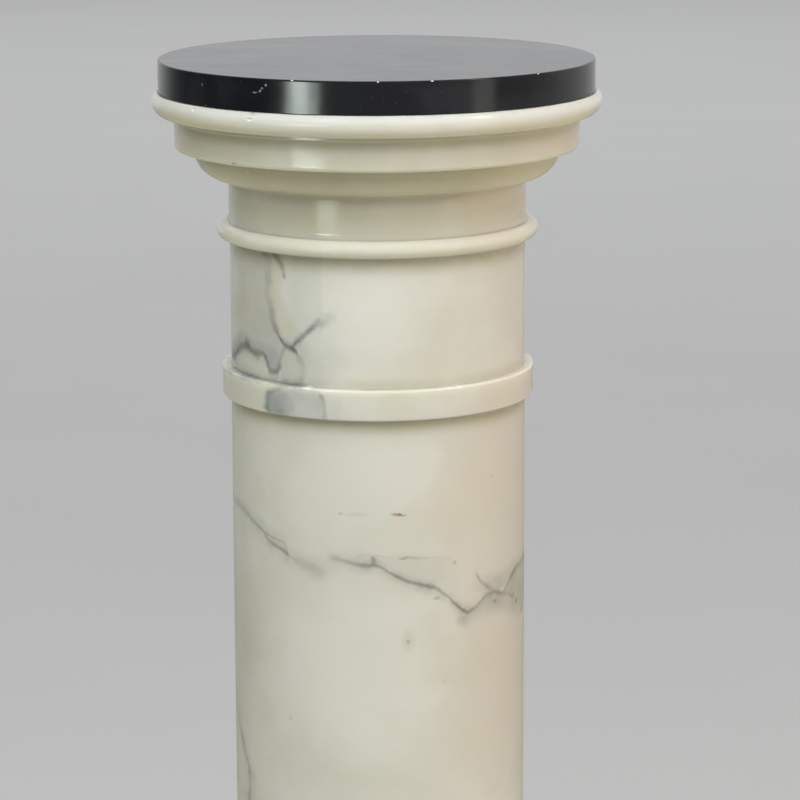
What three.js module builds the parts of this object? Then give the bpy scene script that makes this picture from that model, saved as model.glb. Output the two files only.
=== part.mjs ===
// A display pedestal in the form of a Doric column: turned alabaster stones stacked on a square plinth,
// under a round slab of polished black marble.
// Millimetres, +Z up. The origin is the centre of the plinth's underside, where it stands on the floor.

import * as THREE from "three";

// Driving dimensions
const COLUMN_HEIGHT = 1050;
const SHAFT_RADIUS = 92.2;

// Facets of the turned surfaces: round the axis, and along the outline's arcs
const FACETS = 64;
const ROLL_STEPS = 9;
const QUARTER_STEPS = 6;
const ARRIS_STEPS = 2;

// Top slab: a sawn disc with a rounded upper arris and a small lower one
const SLAB_HEIGHT = 20;
const SLAB_RADIUS = 135;
const SLAB_UPPER_ARRIS = 2;
const SLAB_LOWER_ARRIS = 0.8;

// Capital: from the top down a rim roll, a fillet, a fascia, an ovolo, the neck and an astragal
const CAPITAL_HEIGHT = 90;
const RIM_RADIUS = 139.2;
const RIM_PROJECTION = 7.4;
const RIM_RISE = 5.7;
const RIM_DROP = 8.2;
const FILLET_RADIUS = 127.4;
const FILLET_HEIGHT = 2.5;
const FASCIA_RADIUS = 125.4;
const FASCIA_HEIGHT = 18.1;
const FASCIA_ARRIS = 2.5;
const OVOLO_RADIUS = 113.6;
const OVOLO_HEIGHT = 18;
const NECK_RADIUS = 92.4;
const ASTRAGAL_RADIUS = 100.1;
const ASTRAGAL_ROLL = 5.8;

// Necking drum: a plain drum with a flat band at its foot
const DRUM_HEIGHT = 99;
const DRUM_RADIUS = 92;
const BAND_RADIUS = 97.4;
const BAND_HEIGHT = 18.3;
const BAND_ARRIS = 1.2;

// Base: from the bottom up a torus, a fillet, a cavetto and the same flat band as on the drum
const BASE_HEIGHT = 81;
const TORUS_RADIUS = 134;
const TORUS_ROLL = 17;
const BASE_FILLET_RADIUS = 119;
const BASE_FILLET_HEIGHT = 5;

// Plinth: a square block with a small chamfer on every edge
const PLINTH_HEIGHT = 44;
const PLINTH_WIDTH = 276;
const PLINTH_CHAMFER = 2;

const SHAFT_HEIGHT =
  COLUMN_HEIGHT - SLAB_HEIGHT - CAPITAL_HEIGHT - DRUM_HEIGHT - BASE_HEIGHT - PLINTH_HEIGHT;

const alabaster = new THREE.MeshStandardMaterial({ color: 0xd8d6c6, roughness: 0.25, metalness: 0 });
const blackMarble = new THREE.MeshStandardMaterial({ color: 0x1c1d1f, roughness: 0.12, metalness: 0 });

// One point of an outline: its distance from the column's axis and its height above the stone's own bed.
function at(radius, height) {
  return new THREE.Vector2(radius, height);
}

// Points on an elliptical arc about a centre. Angle 0 points away from the axis and 90 points up.
function arc(centre, across, up, fromDegrees, toDegrees, steps) {
  const points = [];
  for (let step = 0; step <= steps; step += 1) {
    const degrees = THREE.MathUtils.lerp(fromDegrees, toDegrees, step / steps);
    const angle = THREE.MathUtils.degToRad(degrees);
    points.push(at(centre.x + across * Math.cos(angle), centre.y + up * Math.sin(angle)));
  }
  return points;
}

// A stone turned from an outline that runs from its bed up to its top, closed to the axis at both ends.
function turned(name, outline, material) {
  const foot = outline[0];
  const head = outline[outline.length - 1];
  const profile = [at(0, foot.y), ...outline, at(0, head.y)];
  const geometry = new THREE.LatheGeometry(profile, FACETS).rotateX(Math.PI / 2);
  const stone = new THREE.Mesh(geometry, material);
  stone.name = name;
  return stone;
}

// A flat band between two heights, with a rounded arris above and below.
function bandOutline(bottom, top) {
  const shoulder = BAND_RADIUS - BAND_ARRIS;
  return [
    ...arc(at(shoulder, bottom + BAND_ARRIS), BAND_ARRIS, BAND_ARRIS, -90, 0, ARRIS_STEPS),
    ...arc(at(shoulder, top - BAND_ARRIS), BAND_ARRIS, BAND_ARRIS, 0, 90, ARRIS_STEPS),
  ];
}

function makePlinth() {
  const half = PLINTH_WIDTH / 2 - PLINTH_CHAMFER;
  const cut = PLINTH_CHAMFER;
  const outline = new THREE.Shape([
    at(-half - cut, -half),
    at(-half, -half - cut),
    at(half, -half - cut),
    at(half + cut, -half),
    at(half + cut, half),
    at(half, half + cut),
    at(-half, half + cut),
    at(-half - cut, half),
  ]);
  const geometry = new THREE.ExtrudeGeometry(outline, {
    depth: PLINTH_HEIGHT - 2 * cut,
    bevelEnabled: true,
    bevelThickness: cut,
    bevelSize: cut,
    bevelOffset: -cut,
    bevelSegments: 1,
  });
  geometry.translate(0, 0, cut);
  const stone = new THREE.Mesh(geometry, alabaster);
  stone.name = "plinth";
  return stone;
}

function makeBase() {
  const torusTop = 2 * TORUS_ROLL;
  const filletTop = torusTop + BASE_FILLET_HEIGHT;
  const bandBottom = BASE_HEIGHT - BAND_HEIGHT;
  const torusCentre = at(TORUS_RADIUS - TORUS_ROLL, TORUS_ROLL);
  const cavettoCentre = at(BASE_FILLET_RADIUS, bandBottom);
  const cavettoDepth = BASE_FILLET_RADIUS - SHAFT_RADIUS;
  return turned(
    "base",
    [
      ...arc(torusCentre, TORUS_ROLL, TORUS_ROLL, -90, 90, ROLL_STEPS),
      at(BASE_FILLET_RADIUS, torusTop),
      ...arc(cavettoCentre, -cavettoDepth, filletTop - bandBottom, 90, 0, QUARTER_STEPS),
      ...bandOutline(bandBottom, BASE_HEIGHT),
    ],
    alabaster,
  );
}

function makeShaft() {
  return turned("shaft", [at(SHAFT_RADIUS, 0), at(SHAFT_RADIUS, SHAFT_HEIGHT)], alabaster);
}

function makeNeckingDrum() {
  return turned(
    "necking_drum",
    [...bandOutline(0, BAND_HEIGHT), at(DRUM_RADIUS, BAND_HEIGHT), at(DRUM_RADIUS, DRUM_HEIGHT)],
    alabaster,
  );
}

function makeCapital() {
  const rimCentre = at(RIM_RADIUS - RIM_PROJECTION, CAPITAL_HEIGHT - RIM_RISE);
  const rimBottom = rimCentre.y - RIM_DROP;
  const filletBottom = rimBottom - FILLET_HEIGHT;
  const fasciaBottom = filletBottom - FASCIA_HEIGHT;
  const astragalCentre = at(ASTRAGAL_RADIUS - ASTRAGAL_ROLL, ASTRAGAL_ROLL);
  const creaseCosine = (NECK_RADIUS - astragalCentre.x) / ASTRAGAL_ROLL;
  const creaseDegrees = THREE.MathUtils.radToDeg(Math.acos(creaseCosine));
  const fasciaEdge = at(FASCIA_RADIUS - FASCIA_ARRIS, fasciaBottom + FASCIA_ARRIS);
  const rimTopDegrees = THREE.MathUtils.radToDeg(Math.asin(RIM_RISE / RIM_PROJECTION));
  const ovoloCentre = at(NECK_RADIUS, fasciaBottom);
  return turned(
    "capital",
    [
      ...arc(astragalCentre, ASTRAGAL_ROLL, ASTRAGAL_ROLL, -90, creaseDegrees, ROLL_STEPS),
      ...arc(ovoloCentre, OVOLO_RADIUS - NECK_RADIUS, OVOLO_HEIGHT, -90, 0, QUARTER_STEPS),
      ...arc(fasciaEdge, FASCIA_ARRIS, FASCIA_ARRIS, -90, 0, ARRIS_STEPS),
      at(FASCIA_RADIUS, filletBottom),
      at(FILLET_RADIUS, filletBottom),
      at(FILLET_RADIUS, rimBottom),
      ...arc(rimCentre, RIM_PROJECTION, RIM_DROP, -90, 0, QUARTER_STEPS),
      ...arc(rimCentre, RIM_PROJECTION, RIM_PROJECTION, 0, rimTopDegrees, ARRIS_STEPS).slice(1),
    ],
    alabaster,
  );
}

function makeTopSlab() {
  const lowerEdge = at(SLAB_RADIUS - SLAB_LOWER_ARRIS, SLAB_LOWER_ARRIS);
  const upperEdge = at(SLAB_RADIUS - SLAB_UPPER_ARRIS, SLAB_HEIGHT - SLAB_UPPER_ARRIS);
  return turned(
    "top_slab",
    [
      ...arc(lowerEdge, SLAB_LOWER_ARRIS, SLAB_LOWER_ARRIS, -90, 0, ARRIS_STEPS),
      ...arc(upperEdge, SLAB_UPPER_ARRIS, SLAB_UPPER_ARRIS, 0, 90, ARRIS_STEPS),
    ],
    blackMarble,
  );
}

// The stones from the floor up, each set on the one below.
const column = new THREE.Group();
const courses = [
  [makePlinth(), PLINTH_HEIGHT],
  [makeBase(), BASE_HEIGHT],
  [makeShaft(), SHAFT_HEIGHT],
  [makeNeckingDrum(), DRUM_HEIGHT],
  [makeCapital(), CAPITAL_HEIGHT],
  [makeTopSlab(), SLAB_HEIGHT],
];
let bed = 0;
for (const [stone, height] of courses) {
  stone.position.z = bed;
  column.add(stone);
  bed += height;
}

export default column;
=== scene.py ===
"""Dresses a pedestal column of turned alabaster under a round slab of black marble.

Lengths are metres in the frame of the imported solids: +Z up, the origin under the middle of the plinth, and
the front towards -Y. A place on a turned stone is given by its turn, in degrees to the right of the front,
and by its height above the floor.
"""

import logging
import math
from dataclasses import dataclass, field
from enum import Enum
from typing import NamedTuple, Sequence

import bpy
from mathutils import Matrix, Vector

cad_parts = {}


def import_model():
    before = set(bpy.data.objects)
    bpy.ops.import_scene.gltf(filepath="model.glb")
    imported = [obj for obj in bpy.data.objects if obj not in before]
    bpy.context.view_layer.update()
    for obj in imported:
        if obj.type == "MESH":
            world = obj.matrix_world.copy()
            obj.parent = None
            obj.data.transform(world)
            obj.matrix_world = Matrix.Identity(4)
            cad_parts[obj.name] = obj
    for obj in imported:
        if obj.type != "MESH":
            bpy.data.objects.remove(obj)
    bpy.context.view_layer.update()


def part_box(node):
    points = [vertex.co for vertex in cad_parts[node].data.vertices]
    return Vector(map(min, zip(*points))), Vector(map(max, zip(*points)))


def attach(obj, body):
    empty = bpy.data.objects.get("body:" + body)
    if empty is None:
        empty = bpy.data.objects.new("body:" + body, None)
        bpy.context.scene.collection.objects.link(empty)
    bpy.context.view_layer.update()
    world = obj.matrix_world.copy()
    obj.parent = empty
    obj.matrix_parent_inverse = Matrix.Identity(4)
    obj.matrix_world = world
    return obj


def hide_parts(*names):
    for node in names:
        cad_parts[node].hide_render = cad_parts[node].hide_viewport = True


LOG = logging.getLogger("pedestal")

BODY = "root"

# Turned surfaces: facets round the axis, facets along a roll, a quarter round and an arris
TURN_STEPS = 256
ROLL_STEPS = 28
QUARTER_STEPS = 16
ARRIS_STEPS = 6

# Points nearer than this are one point
WELD = 2e-5

# The width of the face that an outline's first point is merged from
START_WIDTH = 0.01

# A chip's bite: how often its ball is divided, and how far its corners stray as a share of its size
CHIP_ROUNDS = 2
CHIP_LUMPS = 0.14

# Edges that turn less than this are shaded smooth
SMOOTH_ANGLE = math.radians(32)

# A pattern's factors on X, Y and Z where it isn't drawn out
UNSTRETCHED = (1.0, 1.0, 1.0)

# The middle of a noise's values
NOISE_MIDDLE = 0.5

Colour = tuple[float, float, float]
Limits = tuple[float, float]


class Slot(Enum):
    """The record's material slots."""

    ALABASTER = "alabaster"
    BLACK_MARBLE = "black_marble"


class Run(Enum):
    """The way that a marking runs over a turned stone."""

    ROUND = "round"
    UP = "up"


class Lit(Enum):
    """What a light works on."""

    ALL = "matt and glossy"
    MATT = "matt"
    GLOSS = "glossy"


class Field:
    """A value that varies over a surface: a node's output socket with arithmetic."""

    def __init__(self, shader: "Shader", socket: bpy.types.NodeSocket) -> None:
        """Wrap an output socket of one of the shader's nodes."""
        self.shader = shader
        self.socket = socket

    def __add__(self, other: "Field | float") -> "Field":
        """Add a field or a number."""
        return self.shader.maths("ADD", self, other)

    def __sub__(self, other: "Field | float") -> "Field":
        """Take a field or a number away."""
        return self.shader.maths("SUBTRACT", self, other)

    def __rsub__(self, other: float) -> "Field":
        """Take this field away from a number."""
        return self.shader.maths("SUBTRACT", other, self)

    def __mul__(self, other: "Field | float") -> "Field":
        """Multiply by a field or a number."""
        return self.shader.maths("MULTIPLY", self, other)

    def __truediv__(self, other: "Field | float") -> "Field":
        """Divide by a field or a number."""
        return self.shader.maths("DIVIDE", self, other)

    def __abs__(self) -> "Field":
        """Size without sign."""
        return self.shader.maths("ABSOLUTE", self)

    __radd__ = __add__
    __rmul__ = __mul__


class Shader:
    """Builds the nodes of one material."""

    def __init__(self, owner: bpy.types.Material | bpy.types.World, place: str = "Object") -> None:
        """Clear the owner's nodes and read the place that they work from.

        Args:
            owner: A new material, or the world.
            place: The coordinates to work from.
        """
        owner.use_nodes = True
        self.owner = owner
        self.tree = owner.node_tree
        self.tree.nodes.clear()
        self.place = self.node("ShaderNodeTexCoord", {}, {}, place)

    def node(self, kind: str, settings: dict, sockets: dict, out: str | None) -> "Field | None":
        """Add a node.

        Args:
            kind: The node's type.
            settings: The node's own settings, set first. "stops" holds a ramp's positions and colours.
            sockets: A value or a field for each named input.
            out: The output to return, or None for a node that ends the tree.

        Returns:
            The named output.
        """
        made = self.tree.nodes.new(kind)
        for name, setting in settings.items():
            if name == "stops":
                self._set_stops(made.color_ramp, setting)
            else:
                setattr(made, name, setting)
        for name, value in sockets.items():
            socket = self._pick(made.inputs, name)
            if isinstance(value, Field):
                self.tree.links.new(value.socket, socket)
            else:
                socket.default_value = value
        return None if out is None else Field(self, self._pick(made.outputs, out))

    @staticmethod
    def _pick(sockets: bpy.types.bpy_prop_collection, name: str) -> bpy.types.NodeSocket:
        """The socket in use that has this identifier or name."""
        return next(s for s in sockets if s.enabled and name in (s.identifier, s.name))

    @staticmethod
    def _set_stops(ramp: bpy.types.ColorRamp, stops: Sequence[tuple[float, Colour]]) -> None:
        """Replace a ramp's stops.

        Args:
            ramp: The ramp of a new node.
            stops: Positions and their colours, in order.
        """
        ramp.elements.remove(ramp.elements[-1])
        ramp.elements[0].position = stops[0][0]
        ramp.elements[0].color = (*stops[0][1], 1.0)
        for position, colour in stops[1:]:
            ramp.elements.new(position).color = (*colour, 1.0)

    def maths(self, operation: str, *values: "Field | float") -> Field:
        """One Math node on values or fields."""
        inputs = dict(zip(("Value", "Value_001"), values))
        return self.node("ShaderNodeMath", {"operation": operation}, inputs, "Value")

    def smooth(self, value: Field, low: "Field | float", high: "Field | float") -> Field:
        """A smooth step between two limits.

        Args:
            value: What is measured.
            low: Where the step starts, at 0.
            high: Where it ends, at 1. It may lie below the other limit.

        Returns:
            The step, from 0 to 1.
        """
        return self.node(
            "ShaderNodeMapRange",
            {"interpolation_type": "SMOOTHSTEP"},
            {"Value": value, "From Min": low, "From Max": high},
            "Result",
        )

    def noise(self, scale: float, detail: float, stretch: Colour = UNSTRETCHED) -> Field:
        """Noise in the stone.

        Args:
            scale: Blotches per metre.
            detail: Octaves of finer noise on top.
            stretch: Factors on X, Y and Z, where a small one draws the blotches out along that axis.

        Returns:
            Values about 0.5.
        """
        place = self.place
        if stretch != UNSTRETCHED:
            place = self.node("ShaderNodeMapping", {}, {"Vector": place, "Scale": stretch}, "Vector")
        sockets = {"Vector": place, "Scale": scale, "Detail": detail}
        return self.node("ShaderNodeTexNoise", {}, sockets, "Fac")

    def split(self, vector: Field) -> tuple[Field, Field, Field]:
        """Take a vector or a colour apart.

        Args:
            vector: The vector or colour.

        Returns:
            Its three numbers.
        """
        made = self.tree.nodes.new("ShaderNodeSeparateXYZ")
        self.tree.links.new(vector.socket, made.inputs[0])
        return tuple(Field(self, socket) for socket in made.outputs)

    def mix(self, share: "Field | float", first: "Field | Colour", second: "Field | Colour") -> Field:
        """Blend two colours.

        Args:
            share: How much of the second colour there is, from 0 to 1.
            first: The colour at 0.
            second: The colour at 1.

        Returns:
            The blended colour.
        """
        ends = {"A": first, "B": second}
        colours = {key: end if isinstance(end, Field) else (*end, 1.0) for key, end in ends.items()}
        return self.node(
            "ShaderNodeMix",
            {"data_type": "RGBA", "clamp_factor": True},
            {"Factor": share, **colours},
            "Result",
        )

    def bump(self, height: Field, strength: float, distance: float) -> Field:
        """A normal that follows a height field."""
        values = {"Height": height, "Strength": strength, "Distance": distance}
        return self.node("ShaderNodeBump", {}, values, "Normal")

    def principled(self, sockets: dict) -> bpy.types.Material:
        """End the tree with a Principled shader.

        Args:
            sockets: A value or a field for each of its named inputs.

        Returns:
            The finished material.
        """
        surface = self.node("ShaderNodeBsdfPrincipled", {}, sockets, "BSDF")
        self.node("ShaderNodeOutputMaterial", {}, {"Surface": surface}, None)
        return self.owner


@dataclass(frozen=True)
class Blotches:
    """Soft blotches: how many in a metre, how fine, where they begin and are full, and their share."""

    scale: float
    detail: float
    begin: float
    full: float
    share: float = 1.0
    stretch: Colour = UNSTRETCHED

    def mask(self, shader: Shader) -> Field:
        """Build the blotches' mask, 0 between them and up to their share on them."""
        noise = shader.noise(self.scale, self.detail, self.stretch)
        return shader.smooth(noise, self.begin, self.full) * self.share


@dataclass(frozen=True)
class Ripple:
    """The faint waves of a polished face: broad ones, a share of fine ones, and how they tilt the face."""

    broad_scale: float
    broad_detail: float
    fine_scale: float
    fine_detail: float
    fine_share: float
    strength: float
    depth: float = 0.004

    def waves(self, shader: Shader) -> Field:
        """The height of the waves."""
        fine = shader.noise(self.fine_scale, self.fine_detail) * self.fine_share
        return shader.noise(self.broad_scale, self.broad_detail) + fine

    def normal(self, shader: Shader, waves: Field) -> Field:
        """The normal of a face with these waves."""
        return shader.bump(waves, self.strength, self.depth)


class StoneShader(Shader):
    """A shader that knows the turn and height of a place on a turned stone."""

    # How far the markings wander from their drawn course, and how
    CRINKLE = 0.0062
    CRINKLE_SCALE = 42.0
    CRINKLE_DETAIL = 7.0
    CRINKLE_ROUGHNESS = 0.66

    # How the width of lines and rings varies
    RAGGED_SCALE = 190.0
    RAGGED_DETAIL = 3.0
    RAGGED_GAIN = 1.6
    RAGGED_LEAST = 0.2

    # How the density of markings varies
    PATCHES = Blotches(75.0, 5.0, 0.3, 0.7)

    def __init__(self, name: str, radius: float) -> None:
        """Set up the stone's own coordinates.

        Args:
            name: The material's name.
            radius: The radius at which a turn is measured along the surface.
        """
        super().__init__(bpy.data.materials.new(name))
        self.metres_per_degree = radius * math.pi / 180
        x, y, height = self.split(self.place)
        turn = self.maths("ARCTAN2", x, y * -1.0) * (180 / math.pi)
        crinkle = {"Vector": self.place, "Scale": self.CRINKLE_SCALE, "Detail": self.CRINKLE_DETAIL}
        crinkle["Roughness"] = self.CRINKLE_ROUGHNESS
        sway, rise, _ = self.split(self.node("ShaderNodeTexNoise", {}, crinkle, "Color"))
        self.turn = turn + (sway - NOISE_MIDDLE) * (self.CRINKLE / self.metres_per_degree)
        self.height = height + (rise - NOISE_MIDDLE) * self.CRINKLE
        self.level = height
        self.reach = self.maths("SQRT", x * x + y * y)
        self.ragged = self.noise(self.RAGGED_SCALE, self.RAGGED_DETAIL) * self.RAGGED_GAIN + self.RAGGED_LEAST
        self.patchy = self.PATCHES.mask(self)

    def uneven(self, density: Limits) -> Field:
        """A density that varies over the stone between a least and a most."""
        least, most = density
        return self.patchy * (most - least) + least

    def follow(self, along: Field, rows: Sequence[tuple[float, Colour]]) -> tuple[Field, Field, Field]:
        """Read three numbers that change along a run.

        Args:
            along: The coordinate along the run.
            rows: Where each row lies along the run, in order, and its three numbers from 0 to 1.

        Returns:
            The three numbers at each place.
        """
        start, end = rows[0][0], rows[-1][0]
        stops = [((place - start) / (end - start), numbers) for place, numbers in rows]
        share = (along - start) / (end - start)
        return self.split(self.node("ShaderNodeValToRGB", {"stops": stops}, {"Fac": share}, "Color"))

    def largest(self, masks: Sequence[Field]) -> Field:
        """Lay several masks over each other.

        Args:
            masks: At least one mask.

        Returns:
            The largest of them at each place.
        """
        top = masks[0]
        for mask in masks[1:]:
            top = self.maths("MAXIMUM", top, mask)
        return top


class VeinPoint(NamedTuple):
    """One point of a vein: its place, half its width and how dark it is there."""

    turn: float
    height: float
    width: float
    strength: float


class CloudPoint(NamedTuple):
    """One point of a cloud: where it is along the run, its two edges across the run and how dense it is."""

    along: float
    low: float
    high: float
    strength: float


def run_along(run: Run, stone: StoneShader) -> tuple[Field, Field, float]:
    """Find the coordinates of a run.

    Args:
        run: The way that a marking runs.
        stone: The shader that it is drawn in.

    Returns:
        The coordinates along and across the run, and the metres in one unit across it.
    """
    if run is Run.ROUND:
        return stone.turn, stone.height, 1.0
    return stone.height, stone.turn, stone.metres_per_degree


@dataclass(frozen=True)
class Vein:
    """A dark line in the stone with a soft grey haze beside it."""

    run: Run
    points: tuple[VeinPoint, ...]
    haze: float = 0.007
    haze_strength: float = 0.8

    # How many half widths the line takes to fade out, and how dense line and haze are
    LINE_FADE = 1.9
    LINE_DENSITY = (0.72, 1.22)
    HAZE_DENSITY = (0.4, 1.0)

    @classmethod
    def drawn(cls, run: Run, *rows: tuple[float, float, float, float], **soft: float) -> "Vein":
        """Draw a vein through rows of turn, height, half width in millimetres and strength."""
        points = tuple(VeinPoint(turn, height, width / 1000, dark) for turn, height, width, dark in rows)
        return cls(run, points, **soft)

    def masks(self, stone: StoneShader) -> tuple[Field, Field]:
        """Build the vein's masks.

        Args:
            stone: The shader that it is drawn in.

        Returns:
            The dark line and the haze, each 0 away from the vein and up to its strength on it.
        """
        along, across, unit = run_along(self.run, stone)
        rows = [(p.turn, p.height, p) for p in self.points]
        if self.run is Run.UP:
            rows = [(height, turn, p) for turn, height, p in rows]
        rows.sort(key=lambda row: row[0])
        low = min(row[1] for row in rows)
        span = max(row[1] for row in rows) - low
        widest = max(p.width for p in self.points)
        course = [(a, ((c - low) / span, p.width / widest, p.strength)) for a, c, p in rows]
        middle, width, strength = stone.follow(along, course)
        gap = abs(across - (middle * span + low)) * unit
        fade = width * stone.ragged * widest * self.LINE_FADE
        line = (1.0 - stone.smooth(gap, 0.0, fade)) * stone.uneven(self.LINE_DENSITY)
        haze = (1.0 - stone.smooth(gap, 0.0, self.haze)) * stone.uneven(self.HAZE_DENSITY)
        return line * strength, haze * strength * self.haze_strength


@dataclass(frozen=True)
class Cloud:
    """A grey, milky or warm patch, with an edge of its own softness on either side; the capital's warm patch
    is painted warm light.
    """

    run: Run
    points: tuple[CloudPoint, ...]
    low_softness: float = 0.002
    high_softness: float = 0.002

    @classmethod
    def drawn(cls, run: Run, *rows: tuple[float, float, float, float], **soft: float) -> "Cloud":
        """Draw a cloud through rows of where it is along the run, its two edges and its density."""
        return cls(run, tuple(CloudPoint(*row) for row in rows), **soft)

    def mask(self, stone: StoneShader) -> Field:
        """Build the cloud's mask.

        Args:
            stone: The shader that it is drawn in.

        Returns:
            0 outside the cloud and up to its strength inside it.
        """
        along, across, unit = run_along(self.run, stone)
        low = min(p.low for p in self.points)
        span = max(p.high for p in self.points) - low
        rows = [(p.along, ((p.low - low) / span, (p.high - low) / span, p.strength)) for p in self.points]
        bottom, top, strength = stone.follow(along, rows)
        above = (across - (bottom * span + low)) * unit
        below = ((top * span + low) - across) * unit
        inside = stone.smooth(above, -self.low_softness, self.low_softness)
        inside = inside * stone.smooth(below, -self.high_softness, self.high_softness)
        return inside * strength


@dataclass(frozen=True)
class Fleck:
    """A small spot or dash on the stone, or a painted glint."""

    turn: float
    height: float
    length: float
    depth: float
    strength: float

    # The share of its reach that is full
    CORE = 0.2

    def mask(self, stone: StoneShader) -> Field:
        """Build the fleck's mask.

        Args:
            stone: The shader that it is drawn in.

        Returns:
            0 outside the fleck and up to its strength inside it.
        """
        sideways = (stone.turn - self.turn) * (stone.metres_per_degree / self.length)
        upwards = (stone.height - self.height) / self.depth
        away = stone.maths("SQRT", sideways * sideways + upwards * upwards)
        return (1.0 - stone.smooth(away, self.CORE, 1.0)) * self.strength


@dataclass(frozen=True)
class Ring:
    """A corner or an arris that goes round a turned stone: a corner with dirt and painted shade, or an arris
    worn pale and partly painted with light.
    """

    radius: float
    height: float
    spread: float = 0.0014
    strength: float = 0.25

    def away(self, stone: StoneShader) -> Field:
        """Measure from the ring.

        Args:
            stone: The shader that it is drawn in.

        Returns:
            The distance from it.
        """
        out = stone.reach - self.radius
        up = stone.level - self.height
        return stone.maths("SQRT", out * out + up * up)

    def mask(self, stone: StoneShader) -> Field:
        """Build the ring's mask, its strength on the corner and 0 away from it."""
        return (1.0 - stone.smooth(self.away(stone), 0.0, stone.ragged * self.spread)) * self.strength


@dataclass(frozen=True)
class PaintedShadeRing(Ring):
    """A broad soft ring of yellowish painted shade under a moulding."""

    # Shares of its spread: where it is full, and where it clears towards the corner itself
    FULL = 0.15
    CLEAR = 0.3

    # What is left of it in the corner, and how dense it is
    CORNER_SHARE = 0.15
    DENSITY = (0.85, 1.15)

    def mask(self, stone: StoneShader) -> Field:
        """Build the stain's mask.

        Args:
            stone: The shader that it is drawn in.

        Returns:
            Up to its strength beside the corner, less in it and 0 away from it.
        """
        away = self.away(stone)
        full = stone.smooth(away, self.spread, self.FULL * self.spread)
        clear = stone.smooth(away, 0.0, self.CLEAR * self.spread)
        clear = clear * (1 - self.CORNER_SHARE) + self.CORNER_SHARE
        return full * clear * stone.uneven(self.DENSITY) * self.strength


@dataclass(frozen=True)
class BlockEdges:
    """The edges of a square block, where the polish wears."""

    half_width: float
    top: float
    spread: float = 0.006
    strength: float = 0.5

    def mask(self, stone: StoneShader) -> Field:
        """Build the edges' mask.

        Args:
            stone: The shader that it is drawn in.

        Returns:
            Their strength on an edge and 0 away from it.
        """
        x, y, height = stone.split(stone.place)
        gaps = (self.half_width - abs(x), self.half_width - abs(y), self.top - height)
        sides = [1.0 - stone.smooth(gap, 0.0, stone.ragged * self.spread) for gap in gaps]
        pairs = [sides[0] * sides[1], sides[1] * sides[2], sides[2] * sides[0]]
        return stone.largest(pairs) * self.strength


@dataclass(frozen=True)
class Figure:
    """All the markings of one stone."""

    veins: tuple[Vein, ...] = ()
    clouds: tuple[Cloud, ...] = ()
    flecks: tuple[Fleck, ...] = ()
    rust: tuple[Fleck, ...] = ()
    # Nicks, of which the drum's are painted glints
    nicks: tuple[Fleck, ...] = ()
    milk: tuple[Cloud, ...] = ()
    # Warm patches; the capital's is painted warm light
    warm: tuple[Cloud, ...] = ()


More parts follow.
